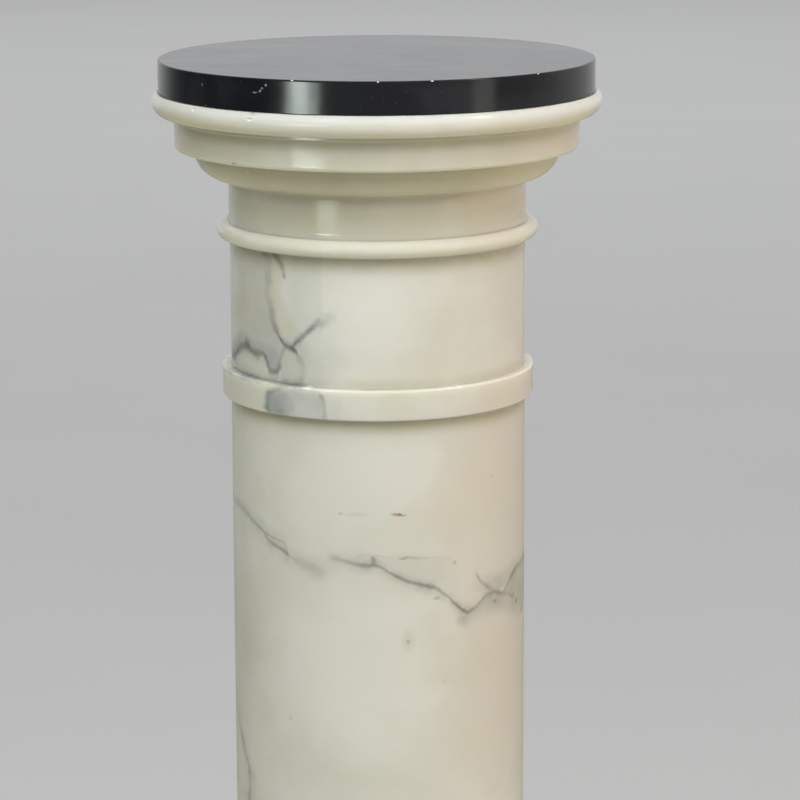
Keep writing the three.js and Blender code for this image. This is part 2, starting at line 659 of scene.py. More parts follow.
@dataclass(frozen=True)
class AlabasterFinish:
    """Polished cream alabaster: milky, a little translucent, with grey veins."""

    cream: Colour = (0.750, 0.738, 0.675)
    milk: Colour = (0.805, 0.800, 0.750)
    shade: Colour = (0.700, 0.685, 0.590)
    # The warm tint; the capital's lighter one is painted warm light
    warm: Colour = (0.735, 0.672, 0.575)
    # The pale of worn edges, of painted sheen on edges and of painted light on joints
    wear_and_light: Colour = (0.830, 0.835, 0.815)
    # The pale of nicks and of painted glints
    nick_and_glint: Colour = (0.86, 0.86, 0.82)
    vein: Colour = (0.185, 0.185, 0.172)
    smoke: Colour = (0.322, 0.348, 0.375)
    rust: Colour = (0.33, 0.12, 0.07)
    # The dark of the dirt and the painted shade in corners
    dirt_and_shade: Colour = (0.17, 0.145, 0.095)
    # The yellowish colour of the painted shade under mouldings
    painted_shade_colour: Colour = (0.50, 0.475, 0.270)
    milky: Blotches = Blotches(10.0, 4.0, 0.42, 0.64, 0.8)
    drift: Blotches = Blotches(8.0, 5.0, 0.48, 0.72, 0.75, (1.0, 1.0, 2.2))
    mottle: Blotches = Blotches(34.0, 4.0, 0.44, 0.70, 0.38)
    smudges: Blotches = Blotches(24.0, 5.0, 0.42, 0.72)
    ripple: Ripple = Ripple(16.0, 1.5, 420.0, 2.0, fine_share=0.02, strength=0.22)
    smoke_density: Limits = (0.72, 1.22)
    wear_and_light_density: Limits = (0.5, 1.1)
    wear_scale: float = 330.0
    wear_detail: float = 3.0
    wear_relief: float = 0.09
    wear_roughness: float = 0.05
    gloss: float = 0.11
    smear: float = 0.09
    ior: float = 1.52
    subsurface: float = 1.0
    subsurface_scale: float = 0.012
    subsurface_radius: Colour = (1.0, 0.97, 0.8)

    def material(
        self,
        name: str,
        radius: float,
        figure: Figure,
        creases: Sequence[Ring],
        arrises: Sequence[Ring | BlockEdges],
        painted_shades: Sequence[PaintedShadeRing] = (),
    ) -> bpy.types.Material:
        """Make the material of one stone.

        Args:
            name: The material's name.
            radius: The radius of the stone's main surface.
            figure: The stone's own markings.
            creases: The corners with dirt and painted shade.
            arrises: The edges, worn pale and partly painted with sheen, and the joints, painted pale to lift
                the shade in them.
            painted_shades: The corners under mouldings that get yellowish painted shade.

        Returns:
            The material.
        """
        stone = StoneShader(name, radius)
        colour = self._body(stone)
        waves = self.ripple.waves(stone)
        roughness = self.smudges.mask(stone) * self.smear + self.gloss
        # Milky clouds, warm patches (on the capital painted warm light), then yellowish painted shade under
        # the mouldings
        for marks, tint in ((figure.milk, self.milk), (figure.warm, self.warm), (painted_shades, self.painted_shade_colour)):
            colour = self._tinted(stone, colour, marks, tint)
        # Edges worn pale and partly painted with sheen, and joints painted pale to lift the shade in them
        if arrises:
            wear_and_light_mask = stone.largest([arris.mask(stone) for arris in arrises]) * stone.uneven(self.wear_and_light_density)
            colour = stone.mix(wear_and_light_mask, colour, self.wear_and_light)
            waves = waves + wear_and_light_mask * stone.noise(self.wear_scale, self.wear_detail) * self.wear_relief
            roughness = roughness + wear_and_light_mask * self.wear_roughness
        lines, hazes = self._lines(stone, figure)
        if hazes:
            smoke = stone.largest(hazes) * stone.uneven(self.smoke_density)
            colour = stone.mix(smoke, colour, self.smoke)
        if lines:
            colour = stone.mix(stone.largest(lines), colour, self.vein)
        # Rust; nicks and painted glints; dirt and painted shade in the corners
        for marks, tint in ((figure.rust, self.rust), (figure.nicks, self.nick_and_glint), (creases, self.dirt_and_shade)):
            colour = self._tinted(stone, colour, marks, tint)
        return stone.principled({
            "Base Color": colour,
            "Roughness": roughness,
            "Normal": self.ripple.normal(stone, waves),
            "IOR": self.ior,
            "Subsurface Weight": self.subsurface,
            "Subsurface Radius": self.subsurface_radius,
            "Subsurface Scale": self.subsurface_scale,
        })

    @staticmethod
    def _tinted(
        stone: StoneShader, colour: Field, marks: Sequence[Fleck | Cloud | Ring], tint: Colour
    ) -> Field:
        """Blend a colour towards a tint where any of some marks lies.

        Args:
            stone: The shader that they are drawn in.
            colour: The colour without them.
            marks: The marks, or none.
            tint: Their colour.

        Returns:
            The colour with them.
        """
        if not marks:
            return colour
        return stone.mix(stone.largest([mark.mask(stone) for mark in marks]), colour, tint)

    def _lines(self, stone: StoneShader, figure: Figure) -> tuple[list[Field], list[Field]]:
        """Build the masks of a figure's lines and hazes.

        Args:
            stone: The shader that they are drawn in.
            figure: The stone's own markings.

        Returns:
            The masks of the dark lines and flecks, and those of the grey hazes and clouds.
        """
        lines = [fleck.mask(stone) for fleck in figure.flecks]
        hazes = [cloud.mask(stone) for cloud in figure.clouds]
        for vein in figure.veins:
            line, haze = vein.masks(stone)
            lines.append(line)
            hazes.append(haze)
        return lines, hazes

    def _body(self, stone: StoneShader) -> Field:
        """Colour the stone between its markings.

        Args:
            stone: The shader that it is drawn in.

        Returns:
            Cream with milky clouds, faint darker drifts and a fine mottle.
        """
        colour = stone.mix(self.milky.mask(stone), self.cream, self.milk)
        colour = stone.mix(self.drift.mask(stone), colour, self.shade)
        return stone.mix(self.mottle.mask(stone), colour, self.shade)


@dataclass(frozen=True)
class BlackMarbleFinish:
    """Polished black marble with faint grey clouding, dust and scratches."""

    black: Colour = (0.0050, 0.0056, 0.0085)
    cloud: Colour = (0.017, 0.018, 0.022)
    dust: Colour = (0.30, 0.30, 0.29)
    scratch: Colour = (0.45, 0.46, 0.45)
    clouding: Blotches = Blotches(26.0, 5.0, 0.45, 0.70)
    specks: Blotches = Blotches(900.0, 1.0, 0.74, 0.80, 0.3)
    smudges: Blotches = Blotches(19.0, 6.0, 0.40, 0.74)
    ripple: Ripple = Ripple(14.0, 1.0, 45.0, 2.0, fine_share=0.2, strength=0.10)
    scratch_roughness: float = 0.4
    gloss: float = 0.15
    smear: float = 0.03
    ior: float = 1.56

    def material(self, name: str, radius: float, scratches: Sequence[Fleck]) -> bpy.types.Material:
        """Make the slab's material.

        Args:
            name: The material's name.
            radius: The slab's radius.
            scratches: The pale marks on its edge.

        Returns:
            The material.
        """
        stone = StoneShader(name, radius)
        colour = stone.mix(self.clouding.mask(stone), self.black, self.cloud)
        colour = stone.mix(self.specks.mask(stone), colour, self.dust)
        nicks = stone.largest([scratch.mask(stone) for scratch in scratches])
        colour = stone.mix(nicks, colour, self.scratch)
        smudges = self.smudges.mask(stone)
        return stone.principled({
            "Base Color": colour,
            "Roughness": smudges * self.smear + nicks * self.scratch_roughness + self.gloss,
            "Normal": self.ripple.normal(stone, self.ripple.waves(stone)),
            "IOR": self.ior,
        })


@dataclass(frozen=True)
class BreakFinish:
    """The sugary white of stone that has been chipped."""

    pale: Colour = (0.86, 0.86, 0.83)
    grey: Colour = (0.72, 0.71, 0.65)
    grain_scale: float = 1400.0
    grain_detail: float = 3.0
    grain_relief: float = 0.5
    grain_depth: float = 0.0006
    roughness: float = 0.75

    def material(self, name: str) -> bpy.types.Material:
        """Make the material of chipped faces.

        Args:
            name: The material's name.

        Returns:
            The material.
        """
        shader = Shader(bpy.data.materials.new(name))
        grain = shader.noise(self.grain_scale, self.grain_detail)
        return shader.principled({
            "Base Color": shader.mix(grain, self.pale, self.grey),
            "Roughness": self.roughness,
            "Normal": shader.bump(grain, self.grain_relief, self.grain_depth),
        })


class Outline:
    """The half section of a turned stone, drawn from the middle of its bed up to the middle of its top."""

    def __init__(self, bed: float) -> None:
        """Start on the axis at the bed's height."""
        self.points: list[tuple[float, float]] = [(0.0, bed)]

    def line(self, radius: float, height: float) -> "Outline":
        """Go straight to a point, unless the outline is already there.

        Args:
            radius: The point's distance from the axis.
            height: Its height.

        Returns:
            This outline.
        """
        last = self.points[-1]
        if math.dist(last, (radius, height)) > WELD:
            self.points.append((radius, height))
        return self

    def arc(
        self, centre: tuple[float, float], across: float, up: float, start: float, end: float, steps: int
    ) -> "Outline":
        """Go round part of an ellipse.

        Args:
            centre: The ellipse's middle, as radius and height.
            across: Its half width.
            up: Its half height.
            start: The first angle in degrees, 0 away from the axis and 90 up.
            end: The last angle.
            steps: How many straight stretches stand for it.

        Returns:
            This outline.
        """
        for step in range(steps + 1):
            angle = math.radians(start + (end - start) * step / steps)
            self.line(centre[0] + across * math.cos(angle), centre[1] + up * math.sin(angle))
        return self

    def round_under(self, radius: float, height: float, arris: float) -> "Outline":
        """Go round a lower outer corner."""
        return self.arc((radius - arris, height + arris), arris, arris, -90, 0, ARRIS_STEPS)

    def round_over(self, radius: float, height: float, arris: float) -> "Outline":
        """Go round an upper outer corner."""
        return self.arc((radius - arris, height - arris), arris, arris, 0, 90, ARRIS_STEPS)

    def close(self, top: float) -> list[tuple[float, float]]:
        """Go back to the axis at the top and return the points."""
        self.line(0.0, top)
        return self.points


@dataclass(frozen=True)
class Chip:
    """A small break: its place on the stone, its size along, into and up the arris, and its own shape."""

    turn: float
    radius: float
    height: float
    size: tuple[float, float, float]
    seed: int


def select_only(piece: bpy.types.Object) -> None:
    """Leave one object selected and active.

    Args:
        piece: The object.
    """
    bpy.ops.object.select_all(action="DESELECT")
    piece.select_set(True)
    bpy.context.view_layer.objects.active = piece


def front_turned(turn: float, radius: float, height: float) -> Vector:
    """The place at a turn, a distance from the axis and a height."""
    angle = math.radians(turn)
    return Vector((radius * math.sin(angle), -radius * math.cos(angle), height))


@dataclass
class Stone:
    """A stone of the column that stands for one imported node."""

    node: str
    slot: Slot
    chips: tuple[Chip, ...] = ()

    def __post_init__(self) -> None:
        """Read the stone's reach from the frame."""
        low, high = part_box(self.node)
        self.bed = low.z
        self.top = high.z
        self.radius = high.x

    def shape(self) -> bpy.types.Object:
        """Model the whole stone, before it is chipped."""
        raise NotImplementedError

    def materials(self) -> list[bpy.types.Material]:
        """The finish of the worked faces."""
        raise NotImplementedError

    def build(self, broken: bpy.types.Material) -> bpy.types.Object:
        """Model, chip and dress the stone and fix it to the column.

        Args:
            broken: The material of chipped faces.

        Returns:
            The finished piece.
        """
        bpy.ops.object.select_all(action="DESELECT")
        piece = self.shape()
        piece.name = f"{self.node}_stone"
        for material in self.materials():
            piece.data.materials.append(material)
        for chip in self.chips:
            self._chip_off(piece, chip, broken)
        select_only(piece)
        bpy.ops.object.shade_smooth_by_angle(angle=SMOOTH_ANGLE)
        bpy.ops.object.modifier_add(type="WEIGHTED_NORMAL")
        piece.modifiers[-1].keep_sharp = True
        bpy.ops.object.modifier_apply(modifier=piece.modifiers[-1].name)
        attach(piece, BODY)
        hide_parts(self.node)
        LOG.info("%s: %d faces", piece.name, len(piece.data.polygons))
        return piece

    @staticmethod
    def _chip_off(piece: bpy.types.Object, chip: Chip, broken: bpy.types.Material) -> None:
        """Cut one lumpy bite out of a piece.

        Args:
            piece: The piece.
            chip: The break.
            broken: The material of the faces that it lays bare.
        """
        bpy.ops.object.select_all(action="DESELECT")
        bpy.ops.mesh.primitive_ico_sphere_add(subdivisions=CHIP_ROUNDS, radius=1.0, enter_editmode=True)
        bite = bpy.context.active_object
        bpy.ops.transform.vertex_random(offset=CHIP_LUMPS, seed=chip.seed, wait_for_input=False)
        bpy.ops.transform.resize(value=chip.size, center_override=(0, 0, 0))
        bpy.ops.object.mode_set(mode="OBJECT")
        place = Matrix.Translation(front_turned(chip.turn, chip.radius, chip.height))
        bite.data.transform(place @ Matrix.Rotation(math.radians(chip.turn), 4, "Z"))
        bite.data.materials.append(broken)
        select_only(piece)
        bpy.ops.object.modifier_add(type="BOOLEAN")
        cut = piece.modifiers[-1]
        cut.operation = "DIFFERENCE"
        cut.solver = "EXACT"
        cut.material_mode = "TRANSFER"
        cut.object = bite
        bpy.ops.object.modifier_apply(modifier=cut.name)
        bpy.data.objects.remove(bite)


@dataclass
class TurnedStone(Stone):
    """A stone turned on a lathe."""

    def outline(self) -> list[tuple[float, float]]:
        """The stone's half section as radii and heights, from its bed up."""
        raise NotImplementedError

    def shape(self) -> bpy.types.Object:
        """Draw the half section point by point and spin it about the column's axis.

        Returns:
            The turned stone.
        """
        (radius, height), *rest = self.outline()
        bpy.ops.mesh.primitive_plane_add(size=START_WIDTH, enter_editmode=True)
        bpy.ops.mesh.merge(type="CENTER")
        bpy.ops.transform.translate(value=(radius, 0.0, height))
        for next_radius, next_height in rest:
            step = (next_radius - radius, 0.0, next_height - height)
            bpy.ops.mesh.extrude_region_move(TRANSFORM_OT_translate={"value": step})
            radius, height = next_radius, next_height
        bpy.ops.mesh.select_all(action="SELECT")
        bpy.ops.mesh.spin(steps=TURN_STEPS, angle=math.tau, center=(0, 0, 0), axis=(0, 0, 1))
        bpy.ops.mesh.select_all(action="SELECT")
        bpy.ops.mesh.remove_doubles(threshold=WELD)
        bpy.ops.mesh.normals_make_consistent(inside=False)
        bpy.ops.object.mode_set(mode="OBJECT")
        return bpy.context.active_object


@dataclass
class TopSlab(TurnedStone):
    """The round slab of black marble."""

    node: str = "top_slab"
    slot: Slot = Slot.BLACK_MARBLE
    upper_arris: float = 0.0010
    lower_arris: float = 0.0004
    finish: BlackMarbleFinish = BlackMarbleFinish()
    chips: tuple[Chip, ...] = (
        Chip(-21.0, 0.1349, 1.0498, (0.0010, 0.0006, 0.0005), 1),
        Chip(0.7, 0.1349, 1.0498, (0.0008, 0.0005, 0.0005), 2),
        Chip(14.2, 0.1349, 1.0498, (0.0010, 0.0005, 0.0005), 3),
        Chip(45.4, 0.1349, 1.0498, (0.0009, 0.0005, 0.0005), 4),
        Chip(151.0, 0.1349, 1.0498, (0.0016, 0.0009, 0.0008), 5),
    )
    scratches: tuple[Fleck, ...] = (
        Fleck(-31.2, 1.0418, 0.0026, 0.0006, 0.50),
        Fleck(-29.8, 1.0424, 0.0008, 0.0010, 0.80),
        Fleck(-29.2, 1.0439, 0.0008, 0.0009, 0.80),
        Fleck(-28.2, 1.0459, 0.0009, 0.0009, 0.70),
        Fleck(-49.2, 1.0430, 0.0006, 0.0014, 0.50),
        Fleck(-48.1, 1.0318, 0.0006, 0.0006, 0.40),
    )

    def outline(self) -> list[tuple[float, float]]:
        """Draw a flat disc with a rounded upper arris and a smaller lower one.

        Returns:
            The stone's half section.
        """
        outline = Outline(self.bed)
        outline.round_under(self.radius, self.bed, self.lower_arris)
        outline.round_over(self.radius, self.top, self.upper_arris)
        return outline.close(self.top)

    def materials(self) -> list[bpy.types.Material]:
        """Dress the slab in black marble with the scratches on its edge."""
        return [self.finish.material("black_marble", self.radius, self.scratches)]


@dataclass
class Capital(TurnedStone):
    """The capital's block: astragal, neck, ovolo, fascia, fillet and rim roll."""

    node: str = "capital"
    slot: Slot = Slot.ALABASTER
    rim_projection: float = 0.0074
    rim_rise: float = 0.0057
    rim_drop: float = 0.0082
    rim_wear_and_light_inset: float = 0.0020
    fillet_radius: float = 0.1274
    fillet_height: float = 0.0025
    fillet_arris: float = 0.0006
    fascia_radius: float = 0.1254
    fascia_height: float = 0.0186
    fascia_arris: float = 0.0025
    fascia_cove: float = 0.0010
    fascia_flare: float = 0.0003
    fascia_upright: float = 0.62
    fascia_wear_and_light_rise: float = 0.0010
    ovolo_radius: float = 0.1136
    ovolo_height: float = 0.0180
    neck_radius: float = 0.0924
    neck_cove: float = 0.0035
    neck_sweep: float = 0.0016
    neck_rise: float = 0.0050
    neck_turn: float = 55.0
    neck_swell: float = 0.00013
    seat_radius: float = 0.1352
    astragal_radius: float = 0.1001
    astragal_roll: float = 0.0058
    astragal_rise: float = 0.0053
    astragal_lip: float = 0.0008
    lip_radius: float = 0.0930
    # The capital's warm tint is lighter than its cream: painted warm light on its right side
    finish: AlabasterFinish = AlabasterFinish(
        cream=(0.750, 0.732, 0.640), shade=(0.700, 0.680, 0.570), warm=(0.835, 0.782, 0.690)
    )
    figure: Figure = field(default_factory=lambda: CAPITAL_FIGURE)
    chips: tuple[Chip, ...] = (
        Chip(-51.6, 0.1381, 1.0281, (0.0014, 0.0009, 0.0010), 11),
        Chip(-31.7, 0.1367, 1.0292, (0.0022, 0.0010, 0.0011), 12),
        Chip(-32.0, 0.1389, 1.0261, (0.0019, 0.0008, 0.0009), 13),
        Chip(-42.5, 0.1247, 0.9962, (0.0021, 0.0013, 0.0016), 14),
    )

    def __post_init__(self) -> None:
        """Work out the heights of the mouldings from the top down."""
        super().__post_init__()
        self.rim_middle = self.top - self.rim_rise
        self.rim_bottom = self.rim_middle - self.rim_drop
        self.fillet_bottom = self.rim_bottom - self.fillet_height
        self.fascia_bottom = self.fillet_bottom - self.fascia_height
        self.astragal_middle = self.bed - self.astragal_lip + self.astragal_rise
        self.astragal_core = self.astragal_radius - self.astragal_roll
        self.neck_foot = self.neck_radius + self.neck_sweep * (1 - math.cos(math.radians(self.neck_turn)))
        cosine = (self.neck_foot - self.astragal_core) / self.astragal_roll
        self.crease_angle = math.degrees(math.acos(cosine))
        self.crease_height = self.astragal_middle + self.astragal_rise * math.sin(math.acos(cosine))

    def outline(self) -> list[tuple[float, float]]:
        """Draw the mouldings from the astragal's bed up to the slab's seat.

        Returns:
            The stone's half section.
        """
        outline = Outline(self.bed).line(self.lip_radius, self.bed)
        self._go_up_neck(outline)
        self._go_up_fascia(outline)
        self._go_round_rim(outline)
        return outline.close(self.top)

    def _go_up_neck(self, outline: Outline) -> None:
        """Draw the astragal, the neck's flared foot, its faint swell and the hollow under the ovolo.

        Args:
            outline: The half section so far.
        """
        roll = (self.astragal_core, self.astragal_middle)
        outline.arc(roll, self.astragal_roll, self.astragal_rise, -90, self.crease_angle, ROLL_STEPS)
        flare_top = self.crease_height + self.neck_rise * math.sin(math.radians(self.neck_turn))
        flare = (self.neck_radius + self.neck_sweep, flare_top)
        outline.arc(flare, -self.neck_sweep, -self.neck_rise, self.neck_turn, 0, QUARTER_STEPS)
        cove = self.neck_cove
        ovolo_bottom = self.fascia_bottom - self.ovolo_height
        outline.line(self.neck_radius + self.neck_swell, (flare_top + ovolo_bottom - cove) / 2)
        outline.arc((self.neck_radius + cove, ovolo_bottom - cove), -cove, cove, 0, 90, ARRIS_STEPS)

    def _go_up_fascia(self, outline: Outline) -> None:
        """Draw the ovolo, the fascia and the hollow under the fillet.

        Args:
            outline: The half section so far.
        """
        ovolo = (self.neck_radius + self.neck_cove, self.fascia_bottom)
        ovolo_width = self.ovolo_radius - self.neck_radius - self.neck_cove
        outline.arc(ovolo, ovolo_width, self.ovolo_height, -90, 0, QUARTER_STEPS)
        outline.round_under(self.fascia_radius, self.fascia_bottom, self.fascia_arris)
        outline.line(self.fascia_radius, self.fascia_bottom + self.fascia_upright * self.fascia_height)
        cove = self.fascia_cove
        hollow = (self.fascia_radius + self.fascia_flare + cove, self.fillet_bottom - cove)
        outline.arc(hollow, -cove, cove, 0, 90, ARRIS_STEPS)

    def _go_round_rim(self, outline: Outline) -> None:
        """Draw the fillet and the rim roll.

        Args:
            outline: The half section so far.
        """
        outline.round_under(self.fillet_radius, self.fillet_bottom, self.fillet_arris)
        outline.line(self.fillet_radius, self.rim_bottom)
        rim = (self.radius - self.rim_projection, self.rim_middle)
        outline.arc(rim, self.rim_projection, self.rim_drop, -90, 0, QUARTER_STEPS)
        top_angle = math.degrees(math.asin(self.rim_rise / self.rim_projection))
        outline.arc(rim, self.rim_projection, self.rim_projection, 0, top_angle, QUARTER_STEPS)

    def materials(self) -> list[bpy.types.Material]:
        """Dress the capital in plain alabaster with dirt and painted shade in its corners, yellowish painted
        shade under its mouldings and edges worn pale and partly painted with sheen.

        Returns:
            The material, with a dark ring of painted shade on the ledge under the slab.
        """
        # Dirt and painted shade in the corners
        creases = [
            Ring(self.neck_foot, self.crease_height, spread=0.0014, strength=0.18),
            Ring(self.fillet_radius, self.rim_bottom, spread=0.0014, strength=0.15),
            Ring(self.fascia_radius, self.fillet_bottom, spread=0.0010, strength=0.12),
            # A strong dark ring of painted shade on the lit ledge between the slab and the rim
            Ring(self.seat_radius, self.top, spread=0.0018, strength=0.9),
        ]
        neck_middle = (self.crease_height + self.fascia_bottom) / 2
        # Yellowish painted shade under the fillet and the ovolo and over the neck
        painted_shades = [
            PaintedShadeRing(self.fascia_radius, self.fillet_bottom, spread=0.011, strength=0.30),
            PaintedShadeRing(self.ovolo_radius, self.fascia_bottom, spread=0.024, strength=0.30),
            PaintedShadeRing(self.neck_radius, neck_middle, spread=0.032, strength=0.30),
        ]
        # The rim roll and the fascia's lower edge, worn pale and partly painted with sheen
        inset = self.rim_wear_and_light_inset
        arrises = [
            Ring(self.radius - inset, self.rim_middle + inset, spread=0.0075, strength=0.6),
            Ring(self.fascia_radius, self.fascia_bottom + self.fascia_wear_and_light_rise, spread=0.0028, strength=0.3),
        ]
        name = "alabaster_capital"
        return [self.finish.material(name, self.neck_radius, self.figure, creases, arrises, painted_shades)]


@dataclass
class NeckingDrum(TurnedStone):
    """The drum under the astragal, with a flat band at its foot."""

    node: str = "necking_drum"
    slot: Slot = Slot.ALABASTER
    drum_radius: float = 0.0920
    band_height: float = 0.0183
    band_arris: float = 0.0012
    band_lip: float = 0.0004
    lip_radius: float = 0.0930
    finish: AlabasterFinish = AlabasterFinish(
        cream=(0.780, 0.772, 0.712), milk=(0.830, 0.830, 0.790), smoke=(0.350, 0.380, 0.415),
        gloss=0.065, smear=0.03,
    )
    figure: Figure = field(default_factory=lambda: DRUM_FIGURE)

    def __post_init__(self) -> None:
        """Work out the height of the ledge on the band."""
        super().__post_init__()
        self.ledge = self.bed + self.band_height

    def outline(self) -> list[tuple[float, float]]:
        """Draw the band, its ledge and the plain drum above it.

        Returns:
            The stone's half section.
        """
        outline = Outline(self.bed).line(self.lip_radius, self.bed)
        outline.round_under(self.radius, self.bed - self.band_lip, self.band_arris)
        outline.round_over(self.radius, self.ledge, self.band_arris)
        outline.line(self.drum_radius, self.ledge).line(self.drum_radius, self.top)
        return outline.close(self.top)

    def materials(self) -> list[bpy.types.Material]:
        """Dress the drum in alabaster with the grey veins that run over drum and band.

        Returns:
            The material, with yellowish painted shade under the astragal and on the ledge, the band's edges
            worn pale and partly painted with sheen, and its top joint painted pale to lift the shade under
            the astragal.
        """
        # Dirt and painted shade in the corner over the band
        creases = [Ring(self.drum_radius, self.ledge, spread=0.0012, strength=0.10)]
        # Yellowish painted shade under the astragal, and on the ledge, darkening it where light from above
        # falls
        painted_shades = [
            PaintedShadeRing(self.drum_radius, self.top, spread=0.0155, strength=0.48),
            PaintedShadeRing(self.drum_radius, self.ledge, spread=0.008, strength=0.30),
        ]
        arrises = [
            # The band's edges, worn pale and partly painted with sheen
            Ring(self.radius, self.ledge, spread=0.0016, strength=0.2),
            Ring(self.radius, self.bed, spread=0.0018, strength=0.3),
            # The joint under the astragal, painted pale to lift the shade in it
            Ring(self.drum_radius, self.top, spread=0.0045, strength=0.8),
        ]
        name = "alabaster_drum"
        return [self.finish.material(name, self.drum_radius, self.figure, creases, arrises, painted_shades)]


@dataclass
class Shaft(TurnedStone):
    """The plain shaft."""

    node: str = "shaft"
    slot: Slot = Slot.ALABASTER
    finish: AlabasterFinish = AlabasterFinish(vein=(0.230, 0.224, 0.205), smoke=(0.365, 0.362, 0.352))
    figure: Figure = field(default_factory=lambda: SHAFT_FIGURE)

    def outline(self) -> list[tuple[float, float]]:
        """Draw a straight side."""
        return Outline(self.bed).line(self.radius, self.bed).line(self.radius, self.top).close(self.top)

    def materials(self) -> list[bpy.types.Material]:
        """Dress the shaft in alabaster with the long vein.

        Returns:
            The material, with yellowish painted shade under the drum's band and the joint under the band
            painted pale to lift the shade in it.
        """
        # Dirt and painted shade at the foot
        creases = [Ring(self.radius, self.bed)]
        # Yellowish painted shade under the drum's band
        painted_shades = [PaintedShadeRing(self.radius, self.top, spread=0.0135, strength=0.46)]
        # The joint under the band, painted pale to lift the shade in it
        arrises = [Ring(self.radius, self.top, spread=0.0045, strength=0.8)]
        return [self.finish.material("alabaster_shaft", self.radius, self.figure, creases, arrises, painted_shades)]


@dataclass
class Base(TurnedStone):
    """The moulded foot: torus, fillet, cavetto and a flat band."""

    node: str = "base"
    slot: Slot = Slot.ALABASTER
    torus_roll: float = 0.0170
    fillet_radius: float = 0.1190
    fillet_height: float = 0.0050
    band_radius: float = 0.0974
    band_height: float = 0.0183
    band_arris: float = 0.0012
    waist_radius: float = 0.0922
    finish: AlabasterFinish = AlabasterFinish()
    figure: Figure = field(default_factory=lambda: BASE_FIGURE)

    def __post_init__(self) -> None:
        """Work out the heights of the mouldings from the bed up."""
        super().__post_init__()
        self.torus_top = self.bed + 2 * self.torus_roll
        self.fillet_top = self.torus_top + self.fillet_height
        self.band_bottom = self.top - self.band_height

    def outline(self) -> list[tuple[float, float]]:
        """Draw the mouldings from the plinth up to the shaft.

        Returns:
            The stone's half section.
        """
        outline = Outline(self.bed)
        roll = self.torus_roll
        outline.arc((self.radius - roll, self.bed + roll), roll, roll, -90, 90, ROLL_STEPS)
        outline.line(self.fillet_radius, self.torus_top)
        hollow = (self.fillet_radius, self.band_bottom)
        depth = self.fillet_radius - self.waist_radius
        outline.arc(hollow, -depth, self.fillet_top - self.band_bottom, 90, 0, QUARTER_STEPS)
        outline.round_under(self.band_radius, self.band_bottom, self.band_arris)
        outline.round_over(self.band_radius, self.top, self.band_arris)
        return outline.close(self.top)

    def materials(self) -> list[bpy.types.Material]:
        """Dress the base in alabaster with a few veins.

        Returns:
            The material, with dirt and painted shade in the corners and worn edges.
        """
        # Dirt and painted shade in the corners
        creases = [
            Ring(self.fillet_radius, self.torus_top),
            Ring(self.waist_radius, self.band_bottom),
            Ring(self.waist_radius, self.top),
        ]
        arrises = [
            Ring(self.radius, self.bed + self.torus_roll, spread=0.0110, strength=0.4),
            Ring(self.fillet_radius, self.fillet_top, spread=0.0022, strength=0.5),
            Ring(self.band_radius, self.band_bottom, spread=0.0018, strength=0.4),
            Ring(self.band_radius, self.top, spread=0.0022, strength=0.4),
        ]
        return [self.finish.material("alabaster_base", self.waist_radius, self.figure, creases, arrises)]


@dataclass
class Plinth(Stone):
    """The square block that the column stands on."""

    node: str = "plinth"
    slot: Slot = Slot.ALABASTER
    arris: float = 0.0020
    seat_radius: float = 0.1170
    finish: AlabasterFinish = AlabasterFinish()
    figure: Figure = field(default_factory=lambda: PLINTH_FIGURE)

    def shape(self) -> bpy.types.Object:
        """Bring a cube to size and round every edge.

        Returns:
            The block.
        """
        width = 2 * self.radius
        bpy.ops.mesh.primitive_cube_add(size=1.0, enter_editmode=True)
        bpy.ops.transform.resize(value=(width, width, self.top - self.bed))
        bpy.ops.transform.translate(value=(0.0, 0.0, (self.bed + self.top) / 2))
        bpy.ops.mesh.bevel(offset=self.arris, segments=ARRIS_STEPS, affect="EDGES")
        bpy.ops.object.mode_set(mode="OBJECT")
        return bpy.context.active_object

    def materials(self) -> list[bpy.types.Material]:
        """Dress the plinth in alabaster with a few veins.

        Returns:
            The material, with dirt and painted shade round the base and worn edges.
        """
        # Dirt and painted shade round the base
        seat = [Ring(self.seat_radius, self.top, spread=0.004)]
        edges = [BlockEdges(self.radius, self.top)]
        return [self.finish.material("alabaster_plinth", self.seat_radius, self.figure, seat, edges)]


